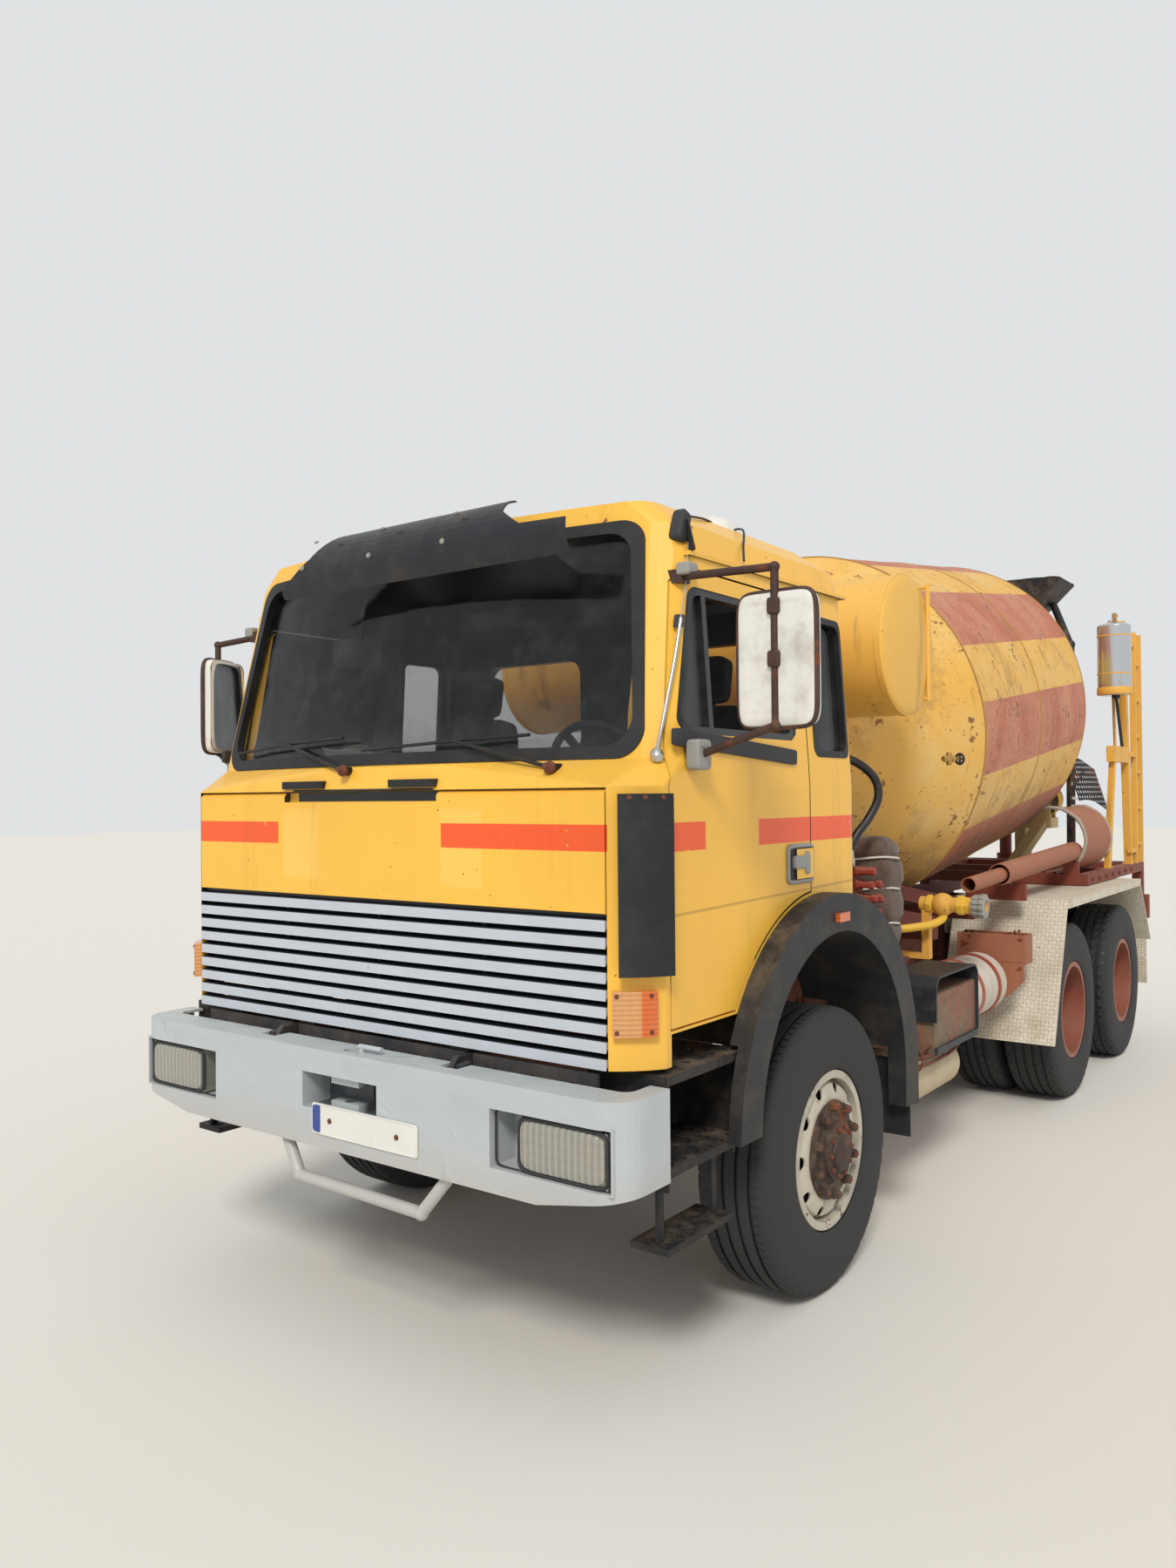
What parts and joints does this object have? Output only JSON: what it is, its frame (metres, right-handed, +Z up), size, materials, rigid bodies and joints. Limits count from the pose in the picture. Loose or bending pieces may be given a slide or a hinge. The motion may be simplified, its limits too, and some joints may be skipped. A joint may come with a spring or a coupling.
{
  "type": "concrete mixer truck",
  "caption": "Three-axle cab-over concrete mixer truck with tilting cab, hinged doors and front flap, steered front wheels, inclined turning drum, charging hopper and swinging discharge chute.",
  "frame": {"origin": "on the ground under the middle of the truck's overall box", "axes": "+X forward, +Y to the driver's left, +Z up"},
  "size_m": [7.89, 2.924, 3.691],
  "materials": {
    "chassis_paint": "worn red-brown primer with dust and rust",
    "cast_steel": "oily dusty steel",
    "yellow_paint": "faded gloss enamel with rust spots",
    "grey_paint": "satin brush-painted grey",
    "lamp_lens": "ribbed clear and amber lens",
    "black_plastic": "sun-faded black",
    "cream_paint": "dusty cream paint on tread plate",
    "stainless": "brushed stainless with stains",
    "primer_paint": "terracotta primer with rust and dried concrete",
    "hose_rubber": "black rubber",
    "sacking": "coarse brown cloth tied with rope",
    "cab_glass": "clear dusty safety glass",
    "seat_cloth": "worn woven cloth",
    "mirror_shell": "chalky white shell on a rusty tube",
    "tyre_rubber": "dusty black rubber"
  },
  "bodies": {
    "chassis": {"chassis_frame": "chassis_paint", "axles": "cast_steel", "leaf_springs": "cast_steel", "engine_block": "cast_steel", "driveline": "cast_steel", "side_tanks": "chassis_paint", "battery_box": "black_plastic", "air_cylinder": "chassis_paint", "bumper": "grey_paint", "lamps": "lamp_lens", "cab_steps": "black_plastic", "drum_frame": "chassis_paint", "drum_gearbox": "cast_steel", "water_tank": "yellow_paint", "mudguards": "cream_paint", "hopper": "black_plastic", "rear_platform": "chassis_paint", "ladder": "yellow_paint", "canister": "stainless", "stowed_pipes": "primer_paint", "hydraulic_hoses": "hose_rubber", "cloth_bundle": "sacking", "valve_block": "chassis_paint", "water_valve": "yellow_paint"},
    "cab": {"cab_shell": "yellow_paint", "cab_glass": "cab_glass", "windscreen_seal": "hose_rubber", "sun_visor": "black_plastic", "dashboard": "black_plastic", "seats": "seat_cloth", "wheel_arches": "black_plastic", "corner_vanes": "black_plastic", "corner_lamps": "lamp_lens"},
    "front_flap": {"front_panel": "yellow_paint", "grille": "grey_paint"},
    "door_left": {"door_left": "yellow_paint", "door_glass_left": "cab_glass", "mirror_left": "mirror_shell"},
    "door_right": {"door_right": "yellow_paint", "door_glass_right": "cab_glass", "mirror_right": "mirror_shell"},
    "knuckle_left": {"knuckle_left": "cast_steel"},
    "knuckle_right": {"knuckle_right": "cast_steel"},
    "wheel_front_left": {"wheel_front_left": "tyre_rubber"},
    "wheel_front_right": {"wheel_front_right": "tyre_rubber"},
    "wheels_rear_1_left": {"wheels_rear_1_left": "tyre_rubber"},
    "wheels_rear_1_right": {"wheels_rear_1_right": "tyre_rubber"},
    "wheels_rear_2_left": {"wheels_rear_2_left": "tyre_rubber"},
    "wheels_rear_2_right": {"wheels_rear_2_right": "tyre_rubber"},
    "drum": {"drum": "yellow_paint"},
    "roller_left": {"roller_left": "cast_steel"},
    "roller_right": {"roller_right": "cast_steel"},
    "chute_bracket": {"chute_bracket": "primer_paint"},
    "chute": {"chute": "primer_paint"}
  },
  "joints": [
    {"name": "cab_tilt", "type": "hinge", "parent": "chassis", "child": "cab", "pos_m": [3.825, -0.123, 1], "axis": [0, 1, 0], "range_deg": [0, 50]},
    {"name": "front_flap_hinge", "type": "hinge", "parent": "cab", "child": "front_flap", "pos_m": [3.777, -0.123, 1.925], "axis": [0, -1, 0], "range_deg": [0, 80]},
    {"name": "door_left_hinge", "type": "hinge", "parent": "cab", "child": "door_left", "pos_m": [3.627, 1.025, 1.9], "axis": [0, 0, -1], "range_deg": [0, 70]},
    {"name": "door_right_hinge", "type": "hinge", "parent": "cab", "child": "door_right", "pos_m": [3.627, -1.271, 1.9], "axis": [0, 0, 1], "range_deg": [0, 70]},
    {"name": "steer_left", "type": "hinge", "parent": "chassis", "child": "knuckle_left", "pos_m": [2.515, 0.647, 0.538], "axis": [0, 0, 1], "range_deg": [-32, 32]},
    {"name": "steer_right", "type": "hinge", "parent": "chassis", "child": "knuckle_right", "pos_m": [2.515, -0.893, 0.538], "axis": [0, 0, 1], "range_deg": [-32, 32]},
    {"name": "wheel_front_left_spin", "type": "hinge", "parent": "knuckle_left", "child": "wheel_front_left", "pos_m": [2.515, 0.907, 0.538], "axis": [0, 1, 0], "continuous": true},
    {"name": "wheel_front_right_spin", "type": "hinge", "parent": "knuckle_right", "child": "wheel_front_right", "pos_m": [2.515, -1.153, 0.538], "axis": [0, 1, 0], "continuous": true},
    {"name": "wheels_rear_1_left_spin", "type": "hinge", "parent": "chassis", "child": "wheels_rear_1_left", "pos_m": [-0.985, 0.777, 0.538], "axis": [0, 1, 0], "continuous": true},
    {"name": "wheels_rear_1_right_spin", "type": "hinge", "parent": "chassis", "child": "wheels_rear_1_right", "pos_m": [-0.985, -1.023, 0.538], "axis": [0, 1, 0], "continuous": true},
    {"name": "wheels_rear_2_left_spin", "type": "hinge", "parent": "chassis", "child": "wheels_rear_2_left", "pos_m": [-2.365, 0.777, 0.538], "axis": [0, 1, 0], "continuous": true},
    {"name": "wheels_rear_2_right_spin", "type": "hinge", "parent": "chassis", "child": "wheels_rear_2_right", "pos_m": [-2.365, -1.023, 0.538], "axis": [0, 1, 0], "continuous": true},
    {"name": "drum_turn", "type": "hinge", "parent": "chassis", "child": "drum", "pos_m": [0.253, -0.123, 2.25], "axis": [-0.9919, 0, 0.1271], "continuous": true},
    {"name": "roller_left_spin", "type": "hinge", "parent": "chassis", "child": "roller_left", "pos_m": [-2.8237, 0.4337, 1.8427], "axis": [-0.9919, 0, 0.1271], "continuous": true},
    {"name": "roller_right_spin", "type": "hinge", "parent": "chassis", "child": "roller_right", "pos_m": [-2.8237, -0.6797, 1.8427], "axis": [-0.9919, 0, 0.1271], "continuous": true},
    {"name": "chute_swing", "type": "hinge", "parent": "chassis", "child": "chute_bracket", "pos_m": [-3.665, -0.123, 1.4], "axis": [0, 0, -1], "range_deg": [0, 120]},
    {"name": "chute_tilt", "type": "hinge", "parent": "chute_bracket", "child": "chute", "pos_m": [-3.665, -0.123, 1.79], "axis": [1, 0, 0], "range_deg": [-20, 15]}
  ],
  "couplings": [
    {"joint": "steer_right", "follows": "steer_left", "ratio": 1},
    {"joint": "roller_left_spin", "follows": "drum_turn", "ratio": -7.8136},
    {"joint": "roller_right_spin", "follows": "drum_turn", "ratio": -7.8136}
  ]
}
